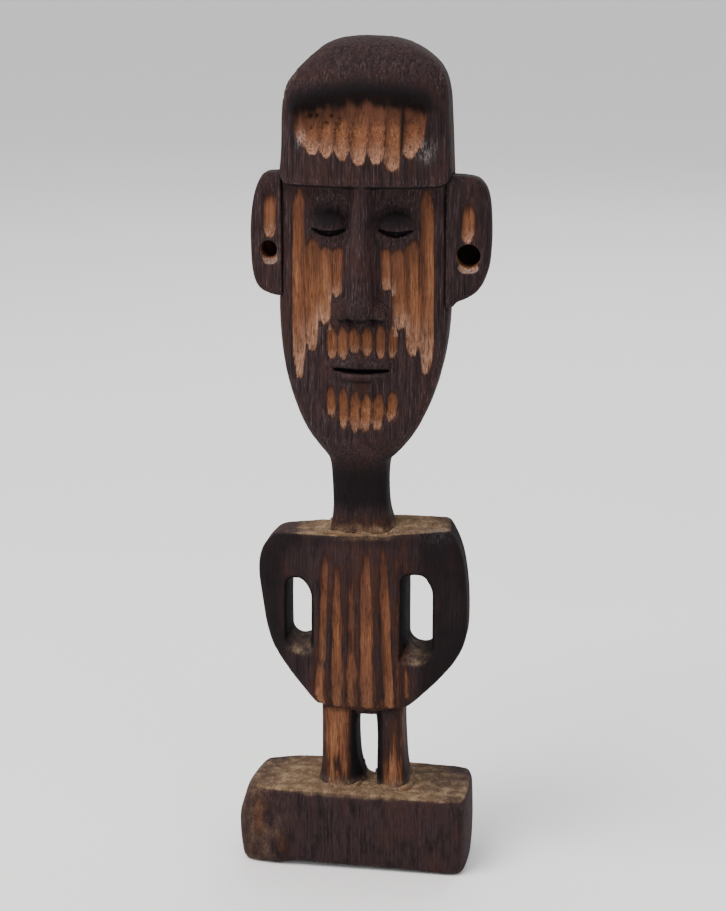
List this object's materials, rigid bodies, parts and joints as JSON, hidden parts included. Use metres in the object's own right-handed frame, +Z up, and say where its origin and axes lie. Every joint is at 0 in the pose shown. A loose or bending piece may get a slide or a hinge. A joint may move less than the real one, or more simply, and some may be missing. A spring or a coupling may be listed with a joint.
{
  "type": "carved ancestor figure",
  "caption": "Standing carved wooden figure on a rectangular block, with a capped head, flat drilled ears, slotted arms and short legs, scorched dark and gouged in rows.",
  "frame": {"origin": "on the block's flat underside, below the middle of the figure and 2 mm to the viewer's right of the block's own middle", "axes": "+Z up the figure, which faces -Y, with +X to the viewer's right"},
  "size_m": [0.0648, 0.024, 0.22],
  "materials": {
    "scorched_wood": "scorched dark brown, satin, with fine upright grain",
    "gouged_wood": "scorched dark brown cut through with bare orange gouge cuts",
    "bare_wood": "bare orange-brown wood with dark scorched edges, satin",
    "wood_filler": "pale crumbly wood filler, matt"
  },
  "bodies": {
    "root": {"base": "scorched_wood", "left_leg": "bare_wood", "right_leg": "bare_wood", "torso": "gouged_wood", "head": "scorched_wood", "left_ear": "scorched_wood", "right_ear": "scorched_wood", "neck_collar": "wood_filler", "left_foot_collar": "wood_filler", "right_foot_collar": "wood_filler"}
  },
  "joints": []
}
